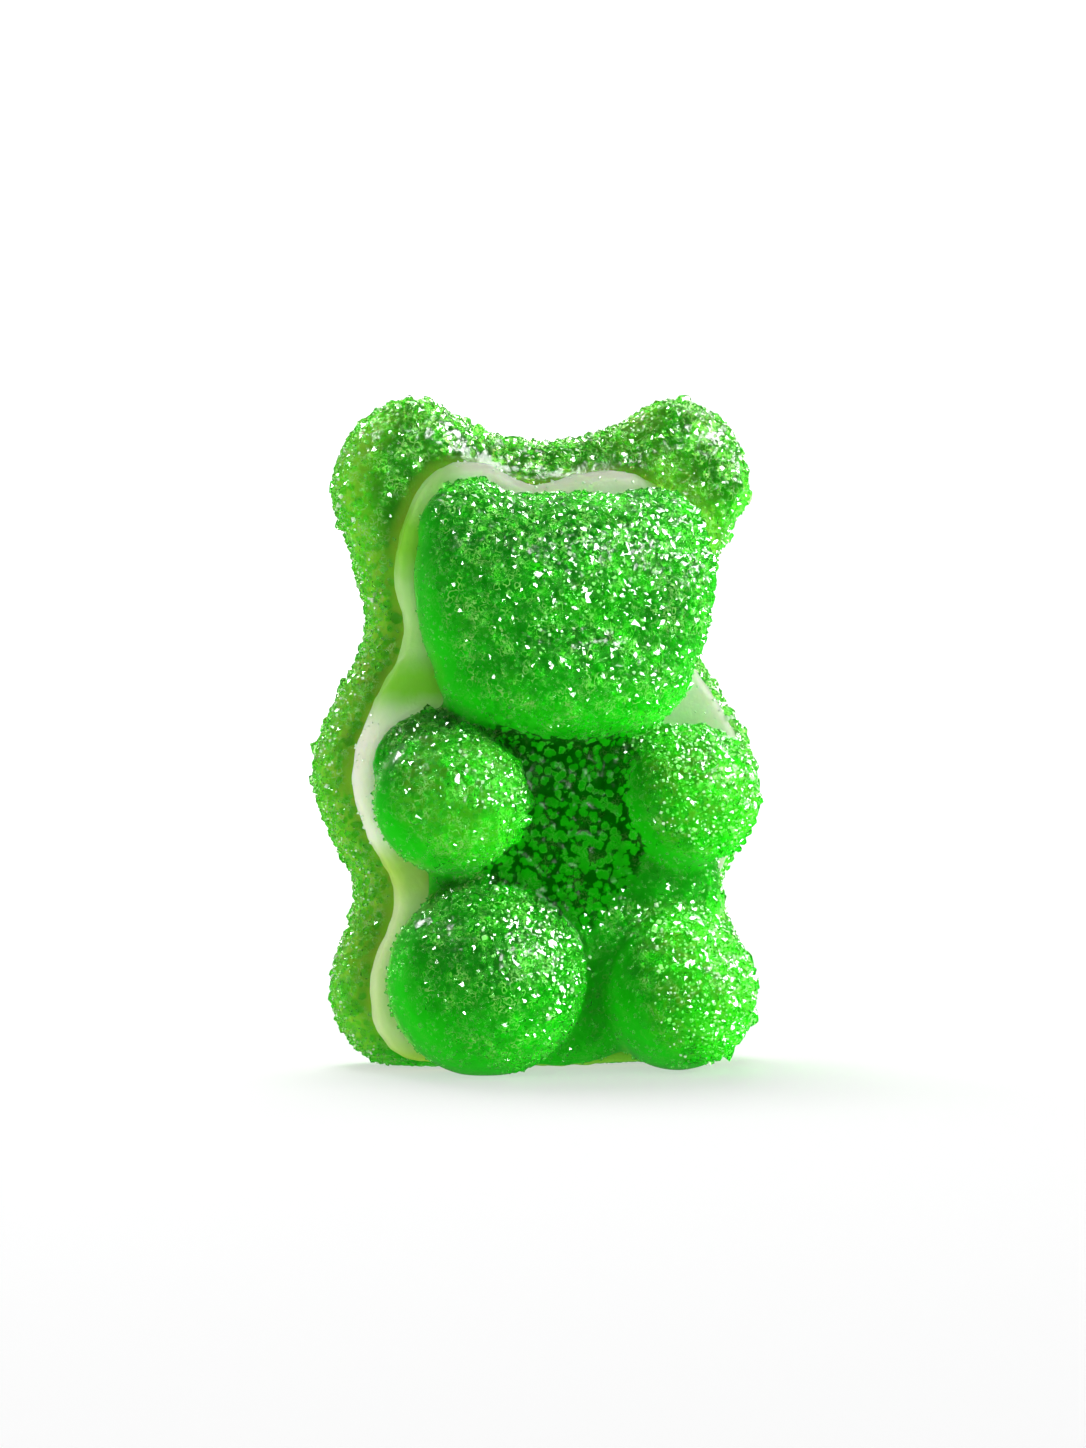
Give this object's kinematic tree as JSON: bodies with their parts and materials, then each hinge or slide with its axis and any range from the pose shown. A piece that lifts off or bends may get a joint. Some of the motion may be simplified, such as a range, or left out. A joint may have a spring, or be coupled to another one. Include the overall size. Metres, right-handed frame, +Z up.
{
  "type": "sugared gummy bear",
  "caption": "Sugar-crusted green jelly bear in three moulded layers: flat back slab with ears, thin pale foam layer, and a front relief of head, belly, arms and legs.",
  "frame": {"origin": "middle of the bear's footprint box, on the surface it stands on", "axes": "+Z up to the ears, -Y is where the face points, +X is the bear's own left"},
  "size_m": [0.0192, 0.011, 0.0281],
  "materials": {
    "green_jelly": "satin",
    "pale_foam": "satin",
    "sugar": "gloss"
  },
  "bodies": {
    "root": {"back_jelly": "green_jelly", "foam_layer": "pale_foam", "front_jelly": "green_jelly"}
  },
  "joints": []
}
